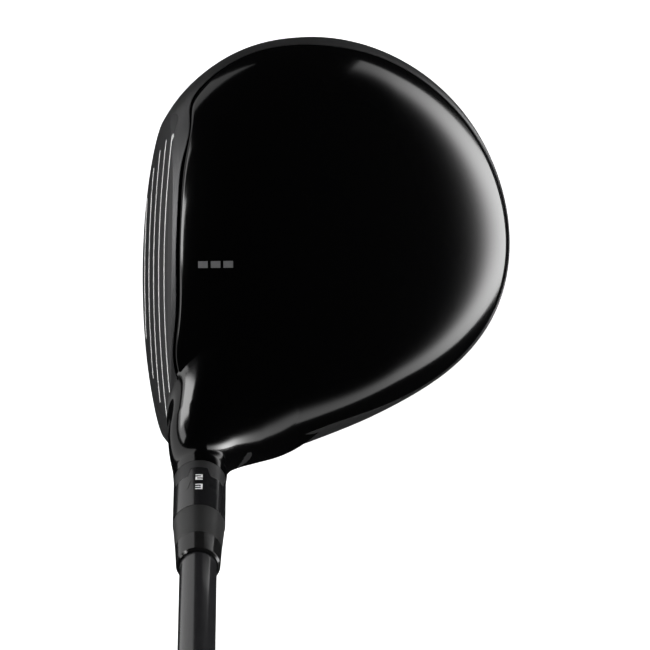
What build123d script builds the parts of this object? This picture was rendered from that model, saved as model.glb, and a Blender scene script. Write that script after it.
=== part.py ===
"""Adjustable 15 degree fairway wood for a right-handed player, at address. Millimetres.

Frame: +Z is up and Z = 0 is the ground. The origin is the middle of the flat pad that the sole rests on.
-Y is where the face points, +Y is the back of the head, -X is the toe and +X is the heel and the player.
The hosel axis lies in a plane Y = constant. "station" below is a distance along that axis from the ground.
"""
import os
from math import cos, pi, radians, sin

from build123d import *

# ---- Club
LIE = 57.0  # angle between the shaft and the ground, degrees
CLUB_LENGTH = 1092.0  # ground to the end of the grip, along the shaft: 43 inches
GROUND_POINT = (25.0, -14.0, 0.0)  # where the hosel axis meets the ground

# ---- Head form: a smooth closed form, cut at the front by the face
OUTLINE = [  # widest plan outline of the form before the face is cut, from the toe round the back
    (-55.6, 11.3), (-52.5, 28.9), (-45.4, 41.1), (-35.9, 50.1), (-21.6, 57.3), (-4.9, 59.7),
    (9.2, 56.6), (21.3, 48.0), (30.8, 34.4), (35.8, 24.2), (40.3, 12.6), (43.8, 2.4),
    (45.9, -7.2), (45.1, -15.8), (40.5, -22.0), (32.4, -26.4), (22.3, -30.0), (8.1, -32.0),
    (-8.0, -31.5), (-20.2, -28.9), (-31.1, -24.8), (-40.6, -19.3), (-48.0, -11.7), (-53.6, -1.1),
]
FORM_CENTRE = (-4.0, 8.0)  # the rings of the form close in on this point
RING_POINTS = 36
EDGE_POWER = 6.0  # how late the surface turns down towards the outline
CROWN_APEX = 37.0
CROWN_PEAK = (-3.0, -2.0)
CROWN_FALL_BACK = 0.0060  # height lost per square millimetre of distance, front to back
CROWN_FALL_SIDE = 0.0035  # the same, heel to toe
WIDEST_FRONT, WIDEST_FALL = 16.5, 0.035  # height of the widest outline, and its fall towards the back
SOLE_RISE_FRONT, SOLE_RISE_SLOPE = 2.5, 0.062  # how far the sole has risen at the outline
FRONT_Y = -31.0
PAD_SHARE = 0.36  # size of the flat pad, as a share of the outline
TOP_SHARE = 0.05  # size of the small flat that closes the form on top
WALL = 1.5  # sole and skirt
CROWN_WALL = 0.9  # the crown sits on what is left of the wall
LEDGE_WIDTH = 5.0  # width of that ledge

# ---- Face
LOFT = 15.0
FACE_ANGLE = 0.7  # degrees open
FACE_RADIUS = 280.0  # bulge and roll
FACE_CENTRE = (0.0, -25.0, 18.0)
FACE_THICKNESS = 2.4
INSERT_OUTLINE = [  # across the face, up the face, from its centre
    (-35.6, 9.0), (-24.0, 12.0), (-8.0, 13.0), (12.0, 12.6), (26.0, 10.8), (33.0, 7.4), (34.0, 1.5),
    (30.5, -5.5), (22.0, -10.6), (8.0, -13.0), (-10.0, -13.2), (-24.0, -11.4), (-33.5, -4.5), (-37.4, 3.5),
]
GROOVE_WIDTH, GROOVE_DEPTH, PAINT_DEPTH = 0.75, 0.40, 0.38
GROOVES = [  # height up the face, toe end, heel end
    (10.0, -32.6, 37.4), (5.1, -31.2, 34.5), (0.2, -28.9, 30.9), (-4.7, -24.8, 25.2), (-9.6, -17.7, 15.8),
]

# ---- Crown
CROWN_OUTLINE = [  # plan outline of the crown shell
    (-36.4, -15.9), (-40.8, -15.2), (-45.1, -11.7), (-49.9, -4.9), (-53.2, 6.0), (-53.2, 17.1), (-50.8, 28.4),
    (-44.2, 40.3), (-35.3, 49.3), (-21.3, 56.7), (-4.9, 59.2), (9.0, 56.1), (21.0, 47.5), (30.0, 34.3),
    (34.2, 23.5), (38.1, 12.1), (39.9, 5.2), (37.6, 0.3), (34.0, -4.5), (31.8, -10.0), (29.6, -15.8),
    (24.5, -19.4), (11.6, -19.5), (-1.8, -19.2), (-16.6, -18.6), (-26.0, -17.6),
]
CROWN_FLOOR = 12.4  # the crown lies above this height
MARK_PLACE, MARK_SIZE, MARK_DEPTH = (-1.5, -9.9), (1.6, 8.2), 0.15  # the alignment mark printed on the crown

# ---- Hosel and adapter, as radii and stations
HOSEL_RADIUS = 6.12
HOSEL_BORE = 5.05
NECK = [  # round sections of the neck: radius, shift to the sky side, shift to the back, station
    (6.12, 0.0, 0.0, 44.8), (6.12, 0.0, 0.0, 42.0), (6.45, 0.3, 0.15, 39.0), (7.3, 1.1, 0.7, 36.0),
    (8.9, 2.5, 2.2, 33.0), (11.2, 4.5, 4.8, 30.0), (14.0, 7.0, 8.0, 27.0),
]
TUBE_RADIUS = 6.6  # hosel tube inside the head
COLLAR_START, COLLAR_END = 44.8, 50.5
RING_END = 55.8
SLEEVE_END = 62.8
FERRULE_END, TRIM_END = 72.6, 79.2
FERRULE_RADIUS, TRIM_RADIUS = 5.40, 5.14
TEETH, TOOTH_HEIGHT, TOOTH_TIP, TOOTH_ROOT = 4, 2.9, 1.9, 2.6  # tip and root are half widths
SEAM = 0.06  # clearance between the castellations
DIGIT_WIDTH, DIGIT_HEIGHT, STROKE, DIGIT_DEPTH = 1.7, 2.2, 0.42, 0.12
TWO = ["top", "upper right", "middle", "lower left", "bottom"]
THREE = ["top", "upper right", "middle", "lower right", "bottom"]
SLEEVE_START, SLEEVE_RADIUS, SLEEVE_BORE = 17.0, 5.0, 4.35
INSERT_START, INSERT_END, INSERT_RADIUS = 17.5, 27.5, 4.2
THREAD_CLEARANCE = 0.05
BOLT_RADIUS, BOLT_HEAD_RADIUS = 2.5, 3.9
BOLT_HEAD_START, BOLT_HEAD_END, BOLT_TIP = 7.6, 11.4, 23.4
BOLT_SOCKET_RADIUS, BOLT_SOCKET_DEPTH = 2.4, 2.6
PORT_RADIUS, PORT_FLOOR, WEB_TOP, WEB_HOLE = 4.6, 12.0, 15.0, 2.75
WASHER_RADIUS = 4.2
CLIP_START, CLIP_END, CLIP_RADIUS, CLIP_GROOVE, CLIP_GAP = 15.3, 16.1, 3.8, 2.0, 3.4
BOND_GAP = 0.05  # half the room left for glue and for turned fits

# ---- Shaft and grip
SHAFT_TIP, TIP_RADIUS, TIP_PARALLEL_END = 28.5, 4.30, 130.0
BUTT_RADIUS = 7.62  # 0.600 inch butt
SHAFT_END = CLUB_LENGTH - 4.5
TIP_BORE, BUTT_BORE = 2.4, 6.5
GRIP_LENGTH = 267.0
GRIP_START = CLUB_LENGTH - GRIP_LENGTH
GRIP_MOUTH_RADIUS, GRIP_BUTT_RADIUS, CAP_RADIUS = 9.3, 12.9, 13.7
TAPE = 0.25
CAP_THICKNESS = 4.0
VENT_RADIUS = 1.5

# ---- Sole weight
WEIGHT_PLACE = (-3.0, 40.0, 1.75)  # on the sole
WEIGHT_TILT = 12.0
BOSS_RADIUS, BOSS_DEPTH = 10.0, 12.0
POCKET_RADIUS, POCKET_DEPTH = 8.0, 5.4
WEIGHT_RADIUS, WEIGHT_THICKNESS = 7.85, 4.7
GASKET = 0.5
HEAD_SUNK, TIP_ROOM = 0.9, 0.8  # screw head below the weight's face, room beyond the screw's tip
WEIGHT_CHAMFER = 0.3
SCREW_RADIUS, SCREW_HEAD_RADIUS, SCREW_HEAD, SCREW_LENGTH = 2.0, 3.4, 2.0, 8.6
SOCKET_RADIUS, SOCKET_DEPTH = 1.9, 1.4


def export(name, shape):
    """Write a sub-part as its own STEP file and print its size."""
    solids = shape.solids()
    export_step(solids[0] if len(solids) == 1 else Compound(children=list(solids)), f"parts/{name}.step")
    print(f"{name}: {len(solids)} solid(s), {sum(s.volume for s in solids):.1f} mm3")


# ---- The hosel's own frame: local Z runs up the shaft, local X points at the sky side of the hosel
lie = radians(LIE)
AXIS = Vector(cos(lie), 0, sin(lie))
HOSEL = Plane(origin=GROUND_POINT, x_dir=(-sin(lie), 0, cos(lie)), z_dir=tuple(AXIS))


def turned(corners, plane=HOSEL):
    """Solid of revolution about a plane's Z axis, from (radius, station) corners."""
    profile = Face(Wire.make_polygon([Vector(r, 0, s) for r, s in corners], close=True))
    return plane.location * revolve(profile, Axis.Z)


def tube(outer, inner, start, end, plane=HOSEL):
    """Plain tube between two stations; inner 0 makes a rod."""
    return turned([(inner, start), (outer, start), (outer, end), (inner, end)], plane)


# ---- Head form
def widest_height(y):
    return WIDEST_FRONT - WIDEST_FALL * (y - FRONT_Y)


def crown_height(x, y):
    back, side = y - CROWN_PEAK[1], x - CROWN_PEAK[0]
    return CROWN_APEX - CROWN_FALL_BACK * back**2 - CROWN_FALL_SIDE * side**2


def sole_height(y_outline, share):
    rise = SOLE_RISE_FRONT + SOLE_RISE_SLOPE * (y_outline - FRONT_Y)
    return rise * max(0.0, (share - PAD_SHARE) / (1 - PAD_SHARE)) ** 2


def outline_points(inset):
    """Points round the plan outline, moved inwards."""
    edge = Spline(*[Vector(x, y) for x, y in OUTLINE], periodic=True)
    found = []
    for i in range(RING_POINTS):
        place, along = edge.position_at(i / RING_POINTS), edge.tangent_at(i / RING_POINTS)
        inward = Vector(along.Y, -along.X)
        if inward.dot(Vector(*FORM_CENTRE) - place) < 0:
            inward = -inward
        found.append(place + inward * inset)
    return found


def ring(points, share, height):
    """Closed curve at a share of the way from the centre to the outline."""
    centre = Vector(*FORM_CENTRE)
    spots = []
    for p in points:
        at = centre + (p - centre) * share
        spots.append(Vector(at.X, at.Y, height(at, p, share)))
    return Wire([Spline(*spots, periodic=True)])


def head_form(inset):
    """Closed form of the head, with every wall moved inwards by inset."""
    points = outline_points(inset)

    def upper(lift):
        return lambda at, p, share: widest_height(p.Y) + (
            crown_height(at.X, at.Y) - inset - widest_height(p.Y)) * lift

    def lower(drop):
        return lambda at, p, share: widest_height(p.Y) - (
            widest_height(p.Y) - inset - sole_height(p.Y, share)) * drop

    rings = [ring(points, PAD_SHARE, lambda at, p, share: inset)]
    for angle in (80, 70, 60, 48, 36, 24, 12):
        share = cos(radians(angle)) ** (2 / EDGE_POWER)
        rings.append(ring(points, share, lower(sin(radians(angle)))))
    for angle in (0, 12, 24, 36, 48, 60, 70, 78, 84, 88):
        share = cos(radians(angle)) ** (2 / EDGE_POWER)
        rings.append(ring(points, share, upper(sin(radians(angle)))))
    rings.append(ring(points, 0.18, upper(1.0)))
    top = crown_height(*FORM_CENTRE) - inset
    rings.append(ring(points, TOP_SHARE, lambda at, p, share: top))
    return Solid.make_loft(rings, ruled=False)


# ---- Face
def face_plane():
    """Plane on the face centre: X runs along the face to the heel, Z points out of it."""
    loft, opened = radians(LOFT), radians(FACE_ANGLE)
    normal = Vector(-sin(opened) * cos(loft), -cos(opened) * cos(loft), sin(loft))
    return Plane(origin=FACE_CENTRE, x_dir=(cos(opened), -sin(opened), 0), z_dir=tuple(normal))


def face_ball(depth):
    """Everything behind the curved face surface, moved back by depth."""
    plane = face_plane()
    centre = plane.origin - plane.z_dir * FACE_RADIUS
    return Location(tuple(centre)) * Sphere(FACE_RADIUS - depth)


def insert_prism():
    """Prism through the head's front with the face insert's outline."""
    outline = Face(Wire([Spline(*[Vector(u, v) for u, v in INSERT_OUTLINE], periodic=True)]))
    return face_plane().location * (Pos(0, 0, -7) * extrude(outline, 11, dir=(0, 0, 1)))


def groove_slab(height, toe, heel):
    """Box across the face where one score line runs."""
    middle, length = (toe + heel) / 2, heel - toe
    return face_plane().location * (Pos(middle, height, 0) * Box(length, GROOVE_WIDTH, 16))


# ---- Crown
def crown_prism(inset=0.0):
    """Upright prism with the crown shell's plan outline, moved towards the form's centre by inset."""
    spots = []
    for x, y in CROWN_OUTLINE:
        reach = Vector(x, y) - Vector(*FORM_CENTRE)
        spot = Vector(*FORM_CENTRE) + reach * (1 - inset / reach.length)
        spots.append(Vector(spot.X, spot.Y, CROWN_FLOOR))
    return extrude(Face(Wire([Spline(*spots, periodic=True)])), 40, dir=(0, 0, 1))


# ---- Adapter
def tooth(base, grow=0.0):
    """One castellation on the sky side, pointing down the hosel from its base station."""
    low = base - TOOTH_HEIGHT - grow
    tip, root = TOOTH_TIP + grow, TOOTH_ROOT + grow
    corners = [(root, base), (tip, low), (-tip, low), (-root, base)]
    side = Face(Wire.make_polygon([Vector(2, across, station) for across, station in corners], close=True))
    return extrude(side, 6, dir=(1, 0, 0))


def teeth(base, inner, outer, grow=0.0):
    """All the castellations of one seam, between two radii."""
    blocks = Part() + [Rot(0, 0, 360 * i / TEETH) * tooth(base, grow) for i in range(TEETH)]
    cylinder = tube(outer, inner, base - TOOTH_HEIGHT - 1, base, Plane.XY)
    return HOSEL.location * (blocks & cylinder)


def digit(strokes):
    """Straight-stroke digit, 9 thick, facing up."""
    across, up = (DIGIT_WIDTH - STROKE) / 2, (DIGIT_HEIGHT - STROKE) / 2
    places = {
        "top": (0, up, DIGIT_WIDTH, STROKE), "middle": (0, 0, DIGIT_WIDTH, STROKE),
        "bottom": (0, -up, DIGIT_WIDTH, STROKE), "upper right": (across, up / 2, STROKE, up),
        "lower left": (-across, -up / 2, STROKE, up), "lower right": (across, -up / 2, STROKE, up),
    }
    return Part() + [Pos(places[s][0], places[s][1], 4.5) * Box(places[s][2], places[s][3], 9) for s in strokes]


def numeral(strokes, station):
    """A digit set into the sky side of the hosel, its top towards the head: its recess and the digit."""
    face = Plane(origin=(0, 0, station), x_dir=(0, 1, 0), z_dir=(1, 0, 0))
    letter = face.location * (Rot(0, 0, 180) * digit(strokes))
    recess = letter - tube(HOSEL_RADIUS - DIGIT_DEPTH, 0, station - 4, station + 4, Plane.XY)
    inlay = recess & tube(HOSEL_RADIUS, 0, station - 4, station + 4, Plane.XY)
    return HOSEL.location * recess, HOSEL.location * inlay


# ---- Head
def weight_plane():
    """Plane on the sole at the weight: Z points out of the head, downwards and backwards."""
    tilt = radians(WEIGHT_TILT)
    return Plane(origin=WEIGHT_PLACE, x_dir=(1, 0, 0), z_dir=(0, sin(tilt), -cos(tilt)))


def neck_body():
    """Neck that swells from the hosel into the crown."""
    sections = []
    for radius, sky, back, station in NECK:
        middle = HOSEL.origin + HOSEL.x_dir * sky + HOSEL.z_dir * station + Vector(0, back, 0)
        sections.append(Wire.make_circle(radius, Plane(middle, x_dir=HOSEL.x_dir, z_dir=HOSEL.z_dir)))
    return Solid.make_loft(sections, ruled=False)


os.makedirs("parts", exist_ok=True)
form, roof_form, hollow_form = head_form(0.0), head_form(CROWN_WALL), head_form(WALL)
outer = form & face_ball(0.0)
weight_at = weight_plane()
neck = neck_body()
body = outer + neck + tube(HOSEL_RADIUS, 0, COLLAR_START, COLLAR_END)
casting = body - (hollow_form & face_ball(FACE_THICKNESS)) - crown_prism(LEDGE_WIDTH)
casting -= crown_prism() - roof_form - neck
casting += tube(TUBE_RADIUS, 0, -6, 44) & body
casting += tube(BOSS_RADIUS, 0, -BOSS_DEPTH, 4, weight_at) & outer

casting -= tube(PORT_RADIUS, 0, -8, PORT_FLOOR)
casting -= tube(WEB_HOLE, 0, PORT_FLOOR - 1, WEB_TOP + 1)
casting -= tube(HOSEL_BORE, 0, WEB_TOP, COLLAR_END + 1)
casting -= teeth(COLLAR_END, HOSEL_BORE - 1, HOSEL_RADIUS + 1, SEAM)
casting -= tube(POCKET_RADIUS, 0, -POCKET_DEPTH, 6, weight_at)
screw_tip = -POCKET_DEPTH + GASKET + WEIGHT_THICKNESS - HEAD_SUNK - SCREW_LENGTH
casting -= tube(SCREW_RADIUS + THREAD_CLEARANCE, 0, screw_tip - TIP_ROOM, 0, weight_at)
insert_block = insert_prism() - face_ball(FACE_THICKNESS)
casting -= insert_block

crown = ((form - roof_form) & crown_prism() & face_ball(0.0)) - neck
mark_slab = Pos(*MARK_PLACE, CROWN_APEX - 1) * Box(*MARK_SIZE, 8)
under_mark = head_form(MARK_DEPTH)
mark = (crown & mark_slab) - under_mark
crown -= mark_slab - under_mark
export("crown_shell", crown)
export("crown_mark", mark)

insert = outer & insert_block
slabs = [groove_slab(*groove) for groove in GROOVES]
paint_top, groove_floor = face_ball(GROOVE_DEPTH - PAINT_DEPTH), face_ball(GROOVE_DEPTH)
paint = Part() + [(slab & outer & paint_top) - groove_floor for slab in slabs]
for slab in slabs:
    insert -= slab - groove_floor
    casting -= slab - groove_floor
export("head_casting", casting)
export("face_insert", insert)
export("score_line_paint", paint)

# ---- Sole weight
weight_top = -POCKET_DEPTH + GASKET + WEIGHT_THICKNESS
gasket = tube(WEIGHT_RADIUS - 0.2, SCREW_RADIUS + 1.0, -POCKET_DEPTH, -POCKET_DEPTH + GASKET, weight_at)
export("weight_gasket", gasket)
weight = tube(WEIGHT_RADIUS, SCREW_RADIUS + 0.15, -POCKET_DEPTH + GASKET, weight_top, weight_at)
head_seat = weight_top - HEAD_SUNK - SCREW_HEAD
weight -= tube(SCREW_HEAD_RADIUS + 0.1, 0, head_seat, weight_top + 1, weight_at)
weight = chamfer(weight.edges().filter_by(GeomType.CIRCLE).sort_by(SortBy.RADIUS)[-1:], WEIGHT_CHAMFER)
export("sole_weight", weight)
screw = tube(SCREW_HEAD_RADIUS, 0, head_seat, head_seat + SCREW_HEAD, weight_at)
screw += tube(SCREW_RADIUS, 0, screw_tip, head_seat, weight_at)
socket = extrude(RegularPolygon(SOCKET_RADIUS, 6), SOCKET_DEPTH + 1)
screw -= weight_at.location * (Pos(0, 0, head_seat + SCREW_HEAD - SOCKET_DEPTH) * socket)
export("weight_screw", screw)

# ---- Hosel bolt, held in the head by a washer and a clip
bolt = tube(BOLT_HEAD_RADIUS, 0, BOLT_HEAD_START, BOLT_HEAD_END) + tube(BOLT_RADIUS, 0, BOLT_HEAD_END, BOLT_TIP)
bolt -= tube(BOLT_RADIUS + 1, CLIP_GROOVE, CLIP_START, CLIP_END)
hexagon = extrude(RegularPolygon(BOLT_SOCKET_RADIUS, 6), BOLT_SOCKET_DEPTH + 1)
bolt -= HOSEL.location * (Pos(0, 0, BOLT_HEAD_START - 1) * hexagon)
export("hosel_bolt", bolt)
export("bolt_washer", tube(WASHER_RADIUS, BOLT_RADIUS + 0.1, BOLT_HEAD_END, PORT_FLOOR))
clip = tube(CLIP_RADIUS, CLIP_GROOVE + BOND_GAP, CLIP_START + BOND_GAP, CLIP_END - BOND_GAP)
clip -= HOSEL.location * (Pos(5, 0, (CLIP_START + CLIP_END) / 2) * Box(10, CLIP_GAP, 3))
export("bolt_clip", clip)

# ---- Adapter sleeve and ring
ring = tube(HOSEL_RADIUS, HOSEL_BORE, COLLAR_END, RING_END) + teeth(COLLAR_END, HOSEL_BORE, HOSEL_RADIUS)
ring -= teeth(RING_END, HOSEL_BORE - 1, HOSEL_RADIUS + 1, SEAM)
recess, ring_numeral = numeral(TWO, COLLAR_END + 1.1)
ring -= recess
export("adapter_ring", ring)
export("ring_numeral", ring_numeral)

sleeve = tube(SLEEVE_RADIUS, 0, SLEEVE_START, RING_END) + tube(HOSEL_RADIUS, 0, RING_END, SLEEVE_END)
sleeve += teeth(RING_END, SLEEVE_RADIUS - 0.3, HOSEL_RADIUS)
sleeve -= tube(SLEEVE_BORE, 0, SHAFT_TIP - 0.3, SLEEVE_END)
sleeve -= tube(INSERT_RADIUS, 0, INSERT_START, INSERT_END)
sleeve -= tube(BOLT_RADIUS + 0.3, 0, SLEEVE_START - 1, INSERT_START)
recess, sleeve_numeral = numeral(THREE, RING_END - 0.3)
sleeve -= recess
export("adapter_sleeve", sleeve)
export("sleeve_numeral", sleeve_numeral)
export("sleeve_thread_insert", tube(INSERT_RADIUS, BOLT_RADIUS + THREAD_CLEARANCE, INSERT_START, INSERT_END))

# ---- Ferrule and shaft
bond_radius = TIP_RADIUS + BOND_GAP
ferrule = turned([(bond_radius, SLEEVE_END), (HOSEL_RADIUS - 0.08, SLEEVE_END), (FERRULE_RADIUS, FERRULE_END),
                  (bond_radius, FERRULE_END)])
export("ferrule", ferrule)
trim = turned([(bond_radius, FERRULE_END), (FERRULE_RADIUS, FERRULE_END), (TRIM_RADIUS, TRIM_END - 0.5),
               (TRIM_RADIUS - 0.5, TRIM_END), (bond_radius, TRIM_END)])
export("ferrule_trim", trim)


def shaft_radius(station):
    share = max(0.0, (station - TIP_PARALLEL_END) / (SHAFT_END - TIP_PARALLEL_END))
    return TIP_RADIUS + (BUTT_RADIUS - TIP_RADIUS) * share


shaft = turned([(TIP_BORE, SHAFT_TIP), (TIP_RADIUS, SHAFT_TIP), (TIP_RADIUS, TIP_PARALLEL_END),
                (BUTT_RADIUS, SHAFT_END), (BUTT_BORE, SHAFT_END), (TIP_BORE, TIP_PARALLEL_END)])
export("shaft", shaft)
export("tip_plug", tube(TIP_BORE, 0, SHAFT_TIP + 0.5, SHAFT_TIP + 12))

# ---- Grip
tape_start = GRIP_START + 6
tape = turned([(shaft_radius(tape_start), tape_start), (shaft_radius(tape_start) + TAPE, tape_start),
               (BUTT_RADIUS + TAPE, SHAFT_END), (BUTT_RADIUS, SHAFT_END)])
export("grip_tape", tape)
inside_start, cap_seat = shaft_radius(GRIP_START), CLUB_LENGTH - CAP_THICKNESS
grip = turned([(inside_start, GRIP_START), (GRIP_MOUTH_RADIUS - 0.8, GRIP_START), (GRIP_MOUTH_RADIUS, GRIP_START + 1.2),
               (GRIP_BUTT_RADIUS, cap_seat - 6), (CAP_RADIUS, cap_seat), (0, cap_seat), (0, SHAFT_END),
               (BUTT_RADIUS + TAPE, SHAFT_END), (shaft_radius(tape_start) + TAPE, tape_start),
               (shaft_radius(tape_start), tape_start)])
grip -= tube(VENT_RADIUS, 0, SHAFT_END - 1, CLUB_LENGTH + 1)
export("grip", grip)
cap = turned([(VENT_RADIUS, cap_seat), (CAP_RADIUS, cap_seat), (CAP_RADIUS, cap_seat + 1.6),
              (CAP_RADIUS - 2.2, CLUB_LENGTH - 0.6), (CAP_RADIUS - 5.5, CLUB_LENGTH), (VENT_RADIUS, CLUB_LENGTH)])
export("grip_cap", cap)
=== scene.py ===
# %% [markdown]
# # A fairway wood at address
# The club's exact metal parts, shaft and grip come from the imported CAD frame, and this lesson gives
# them their looks. The head's skin is what the eye reads first: one smooth gloss crown, a satin steel
# body and a scored face. A flat tessellation would break up the gloss reflections, so the skins of the
# crown and the neck are grown again here, ring by ring, on the same formula as the CAD form.

# %% The frame
from math import cos, pi, radians, sin

import bmesh
import bpy
import numpy as np
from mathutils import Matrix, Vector


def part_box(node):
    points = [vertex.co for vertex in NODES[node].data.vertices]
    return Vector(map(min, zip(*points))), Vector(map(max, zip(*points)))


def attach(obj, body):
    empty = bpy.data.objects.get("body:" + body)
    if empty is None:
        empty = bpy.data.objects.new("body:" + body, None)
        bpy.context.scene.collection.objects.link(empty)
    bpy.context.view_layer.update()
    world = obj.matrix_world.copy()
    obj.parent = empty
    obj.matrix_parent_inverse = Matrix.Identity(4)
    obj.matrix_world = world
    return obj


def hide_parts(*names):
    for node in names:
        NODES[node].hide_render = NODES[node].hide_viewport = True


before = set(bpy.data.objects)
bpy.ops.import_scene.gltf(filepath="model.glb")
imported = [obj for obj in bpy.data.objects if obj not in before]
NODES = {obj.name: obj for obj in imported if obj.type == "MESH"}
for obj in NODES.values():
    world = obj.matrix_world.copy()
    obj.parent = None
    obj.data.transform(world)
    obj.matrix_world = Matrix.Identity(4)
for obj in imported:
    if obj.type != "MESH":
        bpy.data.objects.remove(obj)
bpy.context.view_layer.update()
MM = 0.001

# %% [markdown]
# A club is judged from the golfer's own eyes, straight down at address. The camera sits 1.5 m above the
# ground with a long lens, which leaves the head almost without perspective, and it is turned so that the
# toe is at the top of the picture and the face at its left.

# %% Camera
CAMERA_HEIGHT = 1.53
VIEW_CENTRE = Vector((0.0129, 0.0156, 0.030))
VIEW_WIDTH = 0.1529
ROLL = radians(-0.5)
SENSOR = 36.0

camera_data = bpy.data.cameras.new("camera")
camera_data.sensor_width = SENSOR
camera_data.lens = SENSOR * (CAMERA_HEIGHT - VIEW_CENTRE.z) / VIEW_WIDTH
camera_data.clip_start, camera_data.clip_end = 0.05, 50.0
camera = bpy.data.objects.new("camera", camera_data)
camera.location = (VIEW_CENTRE.x, VIEW_CENTRE.y, CAMERA_HEIGHT)
camera.rotation_euler = (0.0, 0.0, radians(90) + ROLL)
bpy.context.scene.collection.objects.link(camera)
bpy.context.scene.camera = camera
print("lens", round(camera_data.lens), "mm")

# %% [markdown]
# Shader maths reads best as plain expressions. `Value` wraps one socket and turns the operators into
# Math nodes, and `Finish` makes every other node with one method.

# %% Shader helpers
class Value:
    """A number that changes over a surface, as a shader socket with Python's operators."""

    def __init__(self, finish, socket):
        self.finish, self.socket = finish, socket

    def maths(self, operation, *others):
        sockets = {i: other for i, other in enumerate((self, *others))}
        return self.finish.node("ShaderNodeMath", {"operation": operation}, sockets)[0]

    def __add__(self, other):
        return self.maths("ADD", other)

    def __mul__(self, other):
        return self.maths("MULTIPLY", other)

    def __sub__(self, other):
        return self.maths("SUBTRACT", other)

    def __rsub__(self, other):
        return (self * -1.0) + other

    def __truediv__(self, other):
        return self.maths("DIVIDE", other)

    def __pow__(self, other):
        return self.maths("POWER", other)

    __radd__, __rmul__ = __add__, __mul__

    def ramp(self, low, high):
        """0 below low, 1 above high, smooth between."""
        settings = {"interpolation_type": "SMOOTHSTEP", "clamp": True}
        return self.finish.node("ShaderNodeMapRange", settings, {0: self, 1: low, 2: high})[0]


class Finish:
    """One material, built node by node around its Principled shader."""

    def __init__(self, name):
        self.material = bpy.data.materials.new(name)
        self.material.use_nodes = True
        self.tree = self.material.node_tree
        self.shader = self.tree.nodes["Principled BSDF"]

    def node(self, kind, settings=None, sockets=None):
        """Add a node: its settings first, then its sockets. Returns its outputs as Values."""
        made = self.tree.nodes.new(kind)
        for key, value in (settings or {}).items():
            setattr(made, key, value)
        for key, value in (sockets or {}).items():
            self.feed(made.inputs[key], value)
        return [Value(self, output) for output in made.outputs]

    def feed(self, socket, value):
        if isinstance(value, Value):
            self.tree.links.new(value.socket, socket)
        else:
            socket.default_value = value

    def set(self, **sockets):
        """Set the shader's own sockets; an underscore stands for a space."""
        for key, value in sockets.items():
            self.feed(self.shader.inputs[key.replace("_", " ")], value)
        return self

    def place(self):
        """Object coordinates, in metres."""
        return self.node("ShaderNodeTexCoord")[3]

    def noise(self, scale, detail=3.0):
        sockets = {"Vector": self.place(), "Scale": scale, "Detail": detail, "Roughness": 0.55}
        return self.node("ShaderNodeTexNoise", {}, sockets)[0]

    def tint(self, factor, low, high):
        """Colour from low to high as factor goes from 0 to 1."""
        sockets = {0: factor, 6: (*low, 1.0), 7: (*high, 1.0)}
        return self.node("ShaderNodeMix", {"data_type": "RGBA"}, sockets)[2]

    def around(self, middle, axis):
        """Object coordinates x, y and z from a middle, turned so that an axis points along z."""
        turn = Vector(axis).rotation_difference(Vector((0, 0, 1))).to_euler()
        shift = {"operation": "SUBTRACT"}
        shifted = self.node("ShaderNodeVectorMath", shift, {0: self.place(), 1: middle})[0]
        sockets = {"Vector": shifted, "Rotation": turn}
        local = self.node("ShaderNodeMapping", {"vector_type": "POINT"}, sockets)[0]
        return self.node("ShaderNodeSeparateXYZ", {}, {0: local})

    def bump(self, height, distance, strength):
        sockets = {"Height": height, "Distance": distance, "Strength": strength}
        return self.set(Normal=self.node("ShaderNodeBump", {}, sockets)[0])


def dress(finish, *names):
    """Give CAD nodes a finish."""
    for name in names:
        slots = NODES[name].data.materials
        slots.clear()
        slots.append(finish.material)
    print(finish.material.name, "on", ", ".join(names))


print("the head casting comes with", len(NODES["head_casting"].data.polygons), "triangles")

# %% [markdown]
# The head's form is one rule: over a plan outline, the surface rises as a superellipse from the widest
# line to the crown's dome. It could be sculpted or subdivided, but a gloss surface shows every ripple, so
# each point is put exactly where the rule says. The outlines are smooth closed splines through a few
# points.

# %% Head form, in millimetres
OUTLINE = [
    (-55.6, 11.3), (-52.5, 28.9), (-45.4, 41.1), (-35.9, 50.1), (-21.6, 57.3), (-4.9, 59.7),
    (9.2, 56.6), (21.3, 48.0), (30.8, 34.4), (35.8, 24.2), (40.3, 12.6), (43.8, 2.4),
    (45.9, -7.2), (45.1, -15.8), (40.5, -22.0), (32.4, -26.4), (22.3, -30.0), (8.1, -32.0),
    (-8.0, -31.5), (-20.2, -28.9), (-31.1, -24.8), (-40.6, -19.3), (-48.0, -11.7), (-53.6, -1.1),
]
CROWN_OUTLINE = [
    (-36.4, -15.9), (-40.8, -15.2), (-45.1, -11.7), (-49.9, -4.9), (-53.2, 6.0), (-53.2, 17.1), (-50.8, 28.4),
    (-44.2, 40.3), (-35.3, 49.3), (-21.3, 56.7), (-4.9, 59.2), (9.0, 56.1), (21.0, 47.5), (30.0, 34.3),
    (34.2, 23.5), (38.1, 12.1), (39.9, 5.2), (37.6, 0.3), (34.0, -4.5), (31.8, -10.0), (29.6, -15.8),
    (24.5, -19.4), (11.6, -19.5), (-1.8, -19.2), (-16.6, -18.6), (-26.0, -17.6),
]
FORM_CENTRE = np.array((-4.0, 8.0))
EDGE_POWER = 6.0
CROWN_APEX, CROWN_PEAK = 37.0, (-3.0, -2.0)
CROWN_FALL_BACK, CROWN_FALL_SIDE = 0.0060, 0.0035
WIDEST_FRONT, WIDEST_FALL, FRONT_Y = 16.5, 0.035, -31.0
SHOULDER, SHOULDER_REACH = 3.2, 25.0
SOLE_LEVEL = 3.0


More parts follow.
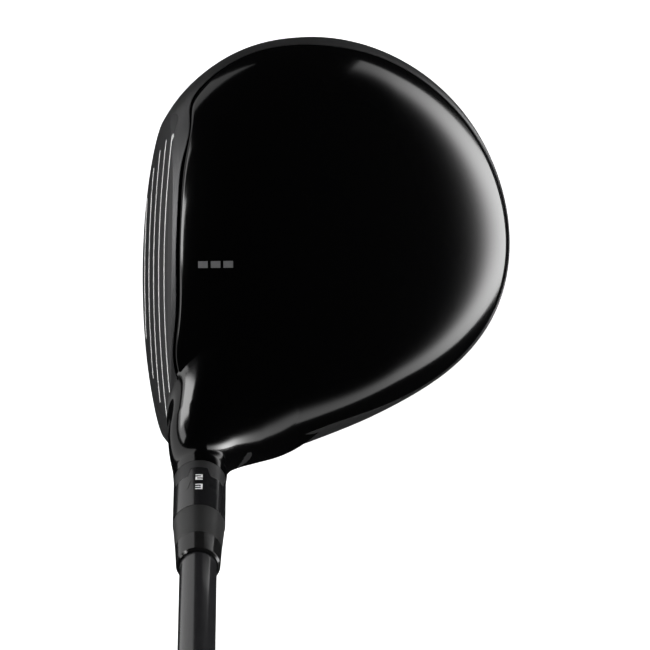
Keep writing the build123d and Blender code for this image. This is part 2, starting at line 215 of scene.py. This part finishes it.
def closed_curve(points, count):
    """Evenly placed points on the smooth closed spline through a few points."""
    knots = np.array(points, dtype=float)
    steps = np.linalg.norm(np.roll(knots, -1, axis=0) - knots, axis=1)
    total = len(knots)
    system, pull = np.zeros((total, total)), np.zeros_like(knots)
    for i in range(total):
        j = (i + 1) % total
        before, after = steps[i - 1], steps[i]
        system[i, i - 1], system[i, i], system[i, j] = after, 2 * (before + after), before
        come, go = after * (knots[i] - knots[i - 1]) / before, before * (knots[j] - knots[i]) / after
        pull[i] = 3 * (come + go)
    slopes = np.linalg.solve(system, pull)
    starts = np.concatenate(([0.0], np.cumsum(steps)))
    spots = []
    for along in np.linspace(0.0, starts[-1], count, endpoint=False):
        i = min(int(np.searchsorted(starts, along, side="right")) - 1, total - 1)
        j, step = (i + 1) % total, steps[i]
        t = (along - starts[i]) / step
        spots.append(knots[i] * (2 * t**3 - 3 * t**2 + 1)
                     + slopes[i] * step * (t**3 - 2 * t**2 + t)
                     + knots[j] * (3 * t**2 - 2 * t**3)
                     + slopes[j] * step * (t**3 - t**2))
    return np.array(spots)


RIM = closed_curve(OUTLINE, 1440)
RIM_REACH = np.linalg.norm(RIM - FORM_CENTRE, axis=1)
RIM_ANGLE = np.arctan2(*(RIM - FORM_CENTRE).T[::-1])


def form_levels(spots):
    """For plan points: share of the way to the outline, its distance, its height and the dome's."""
    away = spots[:, :2] - FORM_CENTRE
    angle, reach = np.arctan2(away[:, 1], away[:, 0]), np.linalg.norm(away, axis=1)
    limit = np.interp(angle, RIM_ANGLE, RIM_REACH, period=2 * pi)
    rim_y = FORM_CENTRE[1] + limit * np.sin(angle)
    widest = WIDEST_FRONT - WIDEST_FALL * (rim_y - FRONT_Y)
    back, side = spots[:, 1] - CROWN_PEAK[1], spots[:, 0] - CROWN_PEAK[0]
    dome = CROWN_APEX - CROWN_FALL_BACK * back**2 - CROWN_FALL_SIDE * side**2
    return reach / limit, limit, widest, dome


def crown_height(spots):
    """Height of the crown over plan points, with its shoulder a little fuller towards the back."""
    share, _, widest, dome = form_levels(spots)
    share = np.clip(share, 0.0, 1.0)
    rearward = np.clip((spots[:, 1] - FORM_CENTRE[1]) / SHOULDER_REACH, 0.0, 1.0)
    full = SHOULDER * share**4 * (1.0 - share**8) * rearward**2 * (3.0 - 2.0 * rearward)
    return widest + (dome - widest) * np.sqrt(1.0 - share**EDGE_POWER) + full


print("form outline", RIM.min(axis=0).round(1), RIM.max(axis=0).round(1))

# %% [markdown]
# A skin is grown from one circle: its ring of points is set on the outline, then the ring is extruded
# inwards again and again, and each new ring is set on the form. A cap closes the last one.

# %% Growing a skin
def new_piece(name, mesh, material, body):
    """Turn a bmesh into a piece that rides on a body."""
    bmesh.ops.recalc_face_normals(mesh, faces=mesh.faces)
    for face in mesh.faces:
        face.smooth = True
    data = bpy.data.meshes.new(name)
    mesh.to_mesh(data)
    mesh.free()
    piece = bpy.data.objects.new(name, data)
    bpy.context.scene.collection.objects.link(piece)
    data.materials.append(material)
    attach(piece, body)
    print(name, len(data.vertices), "points")
    return piece


def grow(rings, capped=True):
    """Bmesh whose rings, given in millimetres, are extruded one from the next."""
    mesh = bmesh.new()
    made = bmesh.ops.create_circle(mesh, segments=len(rings[0]), radius=1.0, cap_ends=False)
    ring = made["verts"]
    edges = list(mesh.edges)
    for vert, spot in zip(ring, rings[0]):
        vert.co = Vector(spot) * MM
    for spots in rings[1:]:
        made = bmesh.ops.extrude_edge_only(mesh, edges=edges)["geom"]
        edges = [item for item in made if isinstance(item, bmesh.types.BMEdge)]
        grown = [item for item in made if isinstance(item, bmesh.types.BMVert)]
        for vert, spot in zip(grown, spots):
            vert.co = Vector(spot) * MM
    if capped:
        bmesh.ops.contextual_create(mesh, geom=edges)
    return mesh


# %% [markdown]
# The crown on the real club is a thin shell bonded into a ledge, then lacquered and polished. Its edge is
# softly rounded, and that rounding draws the thin bright line all round the seam.

# %% Crown
CROWN_POINTS = 480
SEAM, EDGE_ROUND, FRONT_ROUND, EDGE_WALL = 0.10, 0.45, 1.1, 0.5
FRONT_START, FRONT_FADE = -10.0, 5.0
CROWN_RINGS, POLE_RADIUS, RING_SPACING = 64, 0.8, 0.85


def crown_ring(edge, inset, drop):
    """Ring of the crown, a distance in from its edge and a drop below the form."""
    away = edge - FORM_CENTRE
    reach = np.linalg.norm(away, axis=1, keepdims=True)
    spots = FORM_CENTRE + away * (1.0 - inset / reach)
    return np.column_stack((spots, crown_height(spots) - drop))


crown_edge = closed_curve(CROWN_OUTLINE, CROWN_POINTS)
front = np.clip((FRONT_START - crown_edge[:, 1:]) / FRONT_FADE, 0.0, 1.0)
rounding = EDGE_ROUND + FRONT_ROUND * front
crown_rings = [crown_ring(crown_edge, SEAM, rounding[:, 0] + EDGE_WALL)]
for degrees in range(0, 91, 10):
    inset = SEAM + rounding * (1 - cos(radians(degrees)))
    crown_rings.append(crown_ring(crown_edge, inset, rounding[:, 0] * (1 - sin(radians(degrees)))))
first = SEAM + rounding
reach = np.linalg.norm(crown_edge - FORM_CENTRE, axis=1, keepdims=True)
for share in np.linspace(0.0, 1.0, CROWN_RINGS)[1:]:
    inset = first + (reach - POLE_RADIUS - first) * share**RING_SPACING
    crown_rings.append(crown_ring(crown_edge, inset, 0.0))


def painted(name, scale, dark, light, rough, spread):
    """Paint whose fine grain varies its colour and its roughness."""
    finish = Finish(name)
    grain = finish.noise(scale)
    return finish.set(Base_Color=finish.tint(grain, dark, light), Roughness=rough + spread * grain)


gloss = painted("crown gloss black", 900.0, (0.0008, 0.0008, 0.0009), (0.0016, 0.0016, 0.0018), 0.10, 0.03)
gloss.set(IOR=1.5)
crown = new_piece("crown_skin", grow(crown_rings), gloss.material, "head")
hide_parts("crown_shell")

# %% [markdown]
# The neck swells out of the crown and tightens into the hosel under the same lacquer. Its skin is grown
# round the hosel axis: every ring sits where a ray from the axis meets the neck and the crown blended
# together, which gives the soft fillet that a polisher leaves.

# %% Neck
LIE = radians(57.0)
AXIS = np.array((cos(LIE), 0.0, sin(LIE)))
SKY = np.array((-sin(LIE), 0.0, cos(LIE)))
BACK = np.array((0.0, 1.0, 0.0))
GROUND_POINT = np.array((25.0, -14.0, 0.0))
HOSEL_RADIUS, BLEND = 6.12, 4.0
FLARE_END, FLARE_LENGTH = 42.0, 18.0
FLARE_RISE, FLARE_SWEEP, FLARE_SWELL = 0.0315, 0.0024, 0.0363


def form_depth(spots):
    """Rough distance outside the form, in millimetres: negative inside."""
    share, limit, widest, dome = form_levels(spots)
    rise = spots[:, 2] - widest
    tall = np.where(rise > 0, dome - widest, widest - SOLE_LEVEL)
    level = share**EDGE_POWER + (rise / tall) ** 2
    slope = np.hypot(EDGE_POWER * share ** (EDGE_POWER - 1) / limit, 2 * np.abs(rise) / tall**2)
    return (level - 1.0) / np.maximum(slope, 0.05)


def neck_depth(spots):
    """Distance outside the neck's round sections."""
    station = (spots - GROUND_POINT) @ AXIS
    flare = np.clip(FLARE_END - station, 0.0, FLARE_LENGTH)
    sky, back = FLARE_RISE * flare**2, FLARE_SWEEP * flare**3
    middle = GROUND_POINT + np.outer(station, AXIS) + np.outer(sky, SKY) + np.outer(back, BACK)
    return np.linalg.norm(spots - middle, axis=1) - HOSEL_RADIUS - FLARE_SWELL * flare**2


def blended(spots):
    """Neck and form joined by a soft fillet."""
    form, neck = form_depth(spots), neck_depth(spots)
    near = np.clip(BLEND - np.abs(form - neck), 0.0, None) / BLEND
    return np.minimum(form, neck) - near**2 * BLEND / 4


NECK_POINTS, START_RADIUS, STRIDE, STRIDES, HALVINGS = 160, 5.0, 0.6, 60, 30


def neck_ring(station, lift):
    """Ring round the hosel axis where rays from it leave the blended shape."""
    start = GROUND_POINT + AXIS * station
    turns = np.linspace(0.0, 2 * pi, NECK_POINTS, endpoint=False)
    rays = np.outer(np.cos(turns), SKY) + np.outer(np.sin(turns), BACK)
    high = np.full(NECK_POINTS, START_RADIUS)
    for _ in range(STRIDES):
        outside = blended(start + rays * high[:, None]) > lift
        high = np.where(outside, high, high + STRIDE)
    low = np.maximum(high - STRIDE, 0.0)
    for _ in range(HALVINGS):
        half = (low + high) / 2
        outside = blended(start + rays * half[:, None]) > lift
        low, high = np.where(outside, low, half), np.where(outside, half, high)
    return start + rays * high[:, None]


LACQUER, NECK_TOP, NECK_FOOT, NECK_RINGS = 0.22, 44.7, 25.0, 70
TOP_THINNING, TOP_FADE = 0.8, 2.7
FOOT_SINKING, FOOT_START, FOOT_FADE = 2.5, 31.0, 6.0
neck_rings = []
for station in np.linspace(NECK_TOP, NECK_FOOT, NECK_RINGS):
    thinning = TOP_THINNING * LACQUER * np.clip((station - FLARE_END) / TOP_FADE, 0.0, 1.0)
    sinking = FOOT_SINKING * LACQUER * np.clip((FOOT_START - station) / FOOT_FADE, 0.0, 1.0)
    neck_rings.append(neck_ring(station, LACQUER - thinning - sinking))
neck = new_piece("neck_skin", grow(neck_rings, capped=False), gloss.material, "head")

# %% [markdown]
# The alignment mark is a pad print in grey ink. It is three plain dashes on a thin film that follows the
# crown: three small grids are stretched to the size of a dash, and every point is put just above the
# lacquer.

# %% Alignment mark
mark_low, mark_high = (Vector(corner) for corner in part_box("crown_mark"))
DASHES, GAP, INK = 3, 0.0007, 0.00002
dash_length = (mark_high.y - mark_low.y - (DASHES - 1) * GAP) / DASHES
mesh = bmesh.new()
for i in range(DASHES):
    grid = bmesh.ops.create_grid(mesh, x_segments=4, y_segments=8, size=0.5)["verts"]
    bmesh.ops.scale(mesh, vec=(mark_high.x - mark_low.x, dash_length, 1.0), verts=grid)
    along = mark_low.y + dash_length / 2 + i * (dash_length + GAP)
    bmesh.ops.translate(mesh, vec=((mark_low.x + mark_high.x) / 2, along, 0.0), verts=grid)
for vert in mesh.verts:
    vert.co.z = crown_height(np.array([[vert.co.x / MM, vert.co.y / MM]]))[0] * MM + INK
ink = painted("mark grey ink", 4000.0, (0.17, 0.17, 0.175), (0.24, 0.24, 0.245), 0.35, 0.2)
mark = new_piece("crown_mark_print", mesh, ink.material, "head")
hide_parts("crown_mark")

# %% [markdown]
# The steel body is blasted and then coated dark. Fine blasting shows as a very small grain in the
# roughness and the bump, and handling leaves faint cloudy patches. A Bevel node rounds the light on the
# sharp machined edges, as the real tumbling does, without changing the CAD mesh.

# %% Steel finishes
def soft_edges(finish, radius, height, distance, strength):
    """Round the shading of sharp edges, with a grain on top."""
    edge = finish.node("ShaderNodeBevel", {"samples": 6}, {"Radius": radius})[0]
    sockets = {"Height": height, "Distance": distance, "Strength": strength, "Normal": edge}
    return finish.set(Normal=finish.node("ShaderNodeBump", {}, sockets)[0])


def blasted(name, dark, light, rough, grain_scale):
    """Blasted and coated metal with a fine grain and faint cloudiness."""
    finish = Finish(name)
    grain, cloud = finish.noise(grain_scale, 2.0), finish.noise(60.0, 4.0)
    finish.set(Base_Color=finish.tint(grain * 0.5 + cloud * 0.5, dark, light), Metallic=0.75,
               Roughness=rough + 0.08 * cloud + 0.06 * grain)
    return soft_edges(finish, 0.0003, grain, 0.00001, 0.4)


body_steel = blasted("body dark steel", (0.055, 0.055, 0.056), (0.085, 0.085, 0.087), 0.32, 2500.0)
face_steel = blasted("face dark steel", (0.040, 0.040, 0.041), (0.060, 0.060, 0.062), 0.40, 3500.0)
line_paint = painted("score line paint", 3000.0, (0.70, 0.70, 0.69), (0.86, 0.86, 0.85), 0.6, 0.2)
dress(body_steel, "head_casting")
dress(face_steel, "face_insert")
dress(line_paint, "score_line_paint")

# %% [markdown]
# The screws, the washer, the clip and the sole weight are turned on a lathe, which leaves fine rings round
# their own axis. Rings come from the distance to that axis, so the pattern is centred on each piece and
# turned to it with a Mapping node.

# %% Turned metal
RING_PITCH = 0.0004


def turned_metal(name, tones, rough, node, axis):
    """Lathe-turned metal with rings round an axis through the middle of a node's box."""
    finish = Finish(name)
    low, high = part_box(node)
    x, y, _ = finish.around(tuple((Vector(low) + Vector(high)) / 2), axis)
    rings = ((x * x + y * y) ** 0.5 * (2 * pi / RING_PITCH)).maths("SINE") * 0.5 + 0.5
    wear = finish.noise(700.0, 4.0)
    finish.set(Base_Color=finish.tint(wear, *tones), Metallic=1.0,
               Roughness=rough + 0.12 * wear + 0.05 * rings)
    return soft_edges(finish, 0.00015, rings, 0.000004, 0.5)


HOSEL_AXIS = tuple(AXIS)
WEIGHT_TILT = radians(12.0)
WEIGHT_AXIS = (0.0, sin(WEIGHT_TILT), -cos(WEIGHT_TILT))
STEEL = ((0.30, 0.30, 0.31), (0.46, 0.46, 0.47))
BRIGHT_STEEL = ((0.36, 0.36, 0.37), (0.5, 0.5, 0.5))
BRASS = ((0.42, 0.30, 0.12), (0.58, 0.44, 0.2))
bolt_steel = turned_metal("bolt steel", STEEL, 0.25, "hosel_bolt", HOSEL_AXIS)
weight_steel = turned_metal("weight steel", BRIGHT_STEEL, 0.22, "sole_weight", WEIGHT_AXIS)
screw_steel = turned_metal("weight screw steel", STEEL, 0.28, "weight_screw", WEIGHT_AXIS)
brass = turned_metal("thread insert brass", BRASS, 0.3, "sleeve_thread_insert", HOSEL_AXIS)
dress(bolt_steel, "hosel_bolt", "bolt_washer", "bolt_clip")
dress(weight_steel, "sole_weight")
dress(screw_steel, "weight_screw")
dress(brass, "sleeve_thread_insert")

# %% [markdown]
# The adapter's ring and sleeve are hard anodised aluminium: nearly black and glossy. The trace of the
# lathe under the anodising is left out, and only a faint mottle is drawn. The ferrule is polished plastic,
# the shaft is painted graphite, and the setting digits are white paint in engraved recesses.

# %% Adapter, ferrule and shaft
def coated(name, dark, light, rough, mottle_scale, coat=0.0, level=0.5):
    """Smooth dark coating with slight mottling and dust-fine roughness."""
    finish = Finish(name)
    mottle, dust = finish.noise(mottle_scale, 4.0), finish.noise(5000.0, 2.0)
    finish.set(Base_Color=finish.tint(mottle, dark, light), Roughness=rough + 0.05 * mottle + 0.03 * dust,
               Specular_IOR_Level=level, Coat_Weight=coat, Coat_Roughness=0.06)
    return soft_edges(finish, 0.00012, dust, 0.000003, 0.3)


ANODISED = ((0.006, 0.006, 0.0065), (0.011, 0.011, 0.012))
PLASTIC = ((0.016, 0.016, 0.016), (0.024, 0.024, 0.024))
TRIM = ((0.006, 0.006, 0.006), (0.010, 0.010, 0.010))
GRAPHITE = ((0.010, 0.010, 0.011), (0.018, 0.018, 0.019))
WHITE_PAINT = ((0.75, 0.75, 0.75), (0.9, 0.9, 0.9))
dress(coated("adapter anodised black", *ANODISED, 0.16, 500.0, coat=0.3), "adapter_ring", "adapter_sleeve")
dress(coated("ferrule black plastic", *PLASTIC, 0.32, 300.0, level=0.4), "ferrule")
dress(coated("ferrule trim gloss", *TRIM, 0.10, 300.0), "ferrule_trim")
dress(coated("shaft painted graphite", *GRAPHITE, 0.16, 220.0, coat=0.4), "shaft")
dress(painted("digit white paint", 4000.0, *WHITE_PAINT, 0.5, 0.2), "ring_numeral", "sleeve_numeral")

# %% [markdown]
# The grip is moulded rubber. Real grips have a fine knurl for traction between smoother bands, so the
# pattern follows the distance along the shaft and the turn round it. Dust and hand oil make it patchy.

# %% Grip, tape, gasket and plug
KNURL_STARTS, KNURL_RATE, BAND_PITCH = 24.0, 1800.0, 0.032


def grip_rubber(name):
    """Black rubber with bands of fine crossed knurling along the shaft."""
    finish = Finish(name)
    x, y, along = finish.around(tuple(GROUND_POINT * MM), HOSEL_AXIS)
    turn = y.maths("ARCTAN2", x) * KNURL_STARTS
    left, right = (turn + along * KNURL_RATE).maths("SINE"), (turn - along * KNURL_RATE).maths("SINE")
    bands = (along * (2 * pi / BAND_PITCH)).maths("SINE").ramp(-0.35, -0.15)
    height, dust = (left * right).ramp(-0.2, 0.5) * bands, finish.noise(180.0, 5.0)
    finish.set(Base_Color=finish.tint(dust, (0.012, 0.012, 0.012), (0.030, 0.030, 0.029)),
               Roughness=0.62 + 0.2 * dust - 0.08 * height)
    return finish.bump(height, 0.0004, 0.9)


def matte(name, dark, light, rough, scale, distance):
    """Matte material with a grain that shows in colour and bump."""
    finish = Finish(name)
    grain = finish.noise(scale, 4.0)
    finish.set(Base_Color=finish.tint(grain, dark, light), Roughness=rough + 0.15 * grain)
    return finish.bump(grain, distance, 0.6)


SEAL = ((0.012, 0.012, 0.012), (0.03, 0.03, 0.03))
PAPER = ((0.55, 0.5, 0.4), (0.7, 0.65, 0.55))
CORK = ((0.35, 0.24, 0.14), (0.55, 0.42, 0.28))
dress(grip_rubber("grip black rubber"), "grip", "grip_cap")
dress(matte("gasket rubber", *SEAL, 0.7, 1500.0, 0.00003), "weight_gasket")
dress(matte("grip tape paper", *PAPER, 0.8, 2500.0, 0.00002), "grip_tape")
dress(matte("tip plug cork", *CORK, 0.8, 900.0, 0.00005), "tip_plug")

# %% [markdown]
# A gloss black crown shows nothing but its surroundings, so the room overhead stays dark and the light
# comes from glowing cards. An area light has one even brightness, and a gloss surface shows its hard edge,
# so each card is a mesh whose glow is worked out over its surface: the big sweep behind the club fades out
# upwards, and that fade is what rounds the back of the crown.

# %% The sweep behind the club
SWEEP_FOOT, SWEEP_TOP, SWEEP_TURN = (1.25, -0.15, 0.002), (1.25, -0.15, 0.95), radians(165)
SWEEP_EDGE, SWEEP_SHARPNESS = 0.336, 20.0
SWEEP_AIM, SWEEP_NARROWNESS = 0.10, 1.7
SWEEP_PEAK, SWEEP_SIDES = 12.5, 1.4


def stage_card(name, mesh, colour):
    """Card that the camera can't see, with the brightness that colour(finish, place) gives it."""
    data = bpy.data.meshes.new(name)
    mesh.to_mesh(data)
    mesh.free()
    glow = Finish(name)
    glow.set(Base_Color=(0.0, 0.0, 0.0, 1.0), Roughness=1.0, Emission_Strength=1.0)
    level = colour(glow, glow.node("ShaderNodeSeparateXYZ", {}, {0: glow.place()}))
    glow.set(Emission_Color=glow.node("ShaderNodeCombineColor", {}, {0: level, 1: level, 2: level})[0])
    data.materials.append(glow.material)
    card = bpy.data.objects.new(name, data)
    card.visible_camera = card.visible_shadow = False
    bpy.context.scene.collection.objects.link(card)
    print(name, len(data.polygons), "faces")


def sweep_glow(glow, place):
    """Bright at the foot, fading upwards, and strongest straight behind the club."""
    x, y, height = place
    fade = ((height - SWEEP_EDGE) * SWEEP_SHARPNESS).maths("EXPONENT") + 1.0
    turn = ((x * -1.0).maths("ARCTAN2", y) - SWEEP_AIM) * SWEEP_NARROWNESS
    return (((turn * turn * -1.0).maths("EXPONENT") * SWEEP_PEAK) + SWEEP_SIDES) / fade


mesh = bmesh.new()
foot, top = mesh.verts.new(SWEEP_FOOT), mesh.verts.new(SWEEP_TOP)
line = [foot, top, mesh.edges.new((foot, top))]
bmesh.ops.spin(mesh, geom=line, cent=(0, 0, 0), axis=(0, 0, 1), angle=SWEEP_TURN, steps=48)
stage_card("card_sweep", mesh, sweep_glow)

# %% [markdown]
# The rounded front edge of the crown mirrors a narrow stretch of the room on the face side. A leaning card
# stands just there and draws the thin line along the edge. The blasted face is too rough to mirror
# anything, so a plain area light is enough for it.

# %% Front edge and face
EDGE_CARD = [(-0.26, -0.75, 0.25), (0.02, -0.75, 0.25), (0.02, -0.60, 0.62), (-0.26, -0.60, 0.62)]
EDGE_FADE, EDGE_LEVEL = (-0.035, 0.012), 9.0


def edge_glow(glow, place):
    """Even towards the toe, fading out towards the heel."""
    return (1.0 - place[0].ramp(*EDGE_FADE)) * EDGE_LEVEL


def soft_light(name, place, target, width, height, radiance):
    """Rectangular area light aimed at a target, with a given brightness of its face."""
    data = bpy.data.lights.new(name, "AREA")
    data.shape, data.size, data.size_y = "RECTANGLE", width, height
    data.energy = radiance * pi * width * height
    light = bpy.data.objects.new(name, data)
    light.location = place
    light.rotation_euler = (Vector(target) - Vector(place)).to_track_quat("-Z", "Y").to_euler()
    light.visible_camera = False
    bpy.context.scene.collection.objects.link(light)
    print(name, round(data.energy, 2), "W")


mesh = bmesh.new()
bmesh.ops.contextual_create(mesh, geom=[mesh.verts.new(corner) for corner in EDGE_CARD])
stage_card("card_edge", mesh, edge_glow)
soft_light("light_face", (-0.2, -1.0, 0.35), (0.0, -0.02, 0.02), 0.9, 0.35, 3.0)

# %% [markdown]
# The floor is plain white and glows a little, so that it stays white under the dark room. The gloss pieces
# don't mirror it, because so wide a white surface would turn the hosel and the shaft grey. Two dim cards on
# the floor stand in for it, and only their long reflections run down the hosel and the shaft.

# %% Floor and its cards
FLOOR_HALF, CARD_HEIGHT = 4.0, 0.0005
TOE_CARD = [(-0.06, -0.045), (-1.6, -0.35), (-1.0, -1.6), (0.3, -1.2), (0.1, -0.1), (0.03, -0.05)]
HEEL_CARD = [(-0.08, 0.16), (-1.2, 1.1), (0.3, 1.15), (0.10, 0.30)]

mesh = bmesh.new()
bmesh.ops.create_grid(mesh, x_segments=1, y_segments=1, size=FLOOR_HALF)
floor_mesh = bpy.data.meshes.new("floor")
mesh.to_mesh(floor_mesh)
mesh.free()
floor = bpy.data.objects.new("floor", floor_mesh)
bpy.context.scene.collection.objects.link(floor)
white = Finish("floor white")
white.set(Base_Color=(0.9, 0.9, 0.9, 1.0), Roughness=0.9,
          Emission_Color=(1.0, 1.0, 1.0, 1.0), Emission_Strength=1.0)
floor_mesh.materials.append(white.material)
floor.visible_glossy = False


def floor_card(name, corners, radiance):
    """Even card lying on the floor, for the sides of the hosel and shaft to reflect."""
    mesh = bmesh.new()
    bmesh.ops.contextual_create(mesh, geom=[mesh.verts.new((x, y, CARD_HEIGHT)) for x, y in corners])
    stage_card(name, mesh, lambda glow, place: place[2] * 0.0 + radiance)


floor_card("card_toe", TOE_CARD, 0.75)
floor_card("card_heel", HEEL_CARD, 0.5)

# %% [markdown]
# The world gives the dark room a trace of light, and the Standard view transform keeps white white and the
# deep black of the lacquer black.

# %% World
ROOM = 0.006
world = bpy.data.worlds.new("studio")
world.use_nodes = True
world.node_tree.nodes["Background"].inputs[0].default_value = (ROOM, ROOM, ROOM, 1.0)
bpy.context.scene.world = world
bpy.context.scene.view_settings.view_transform = "Standard"
print("room brightness", ROOM)
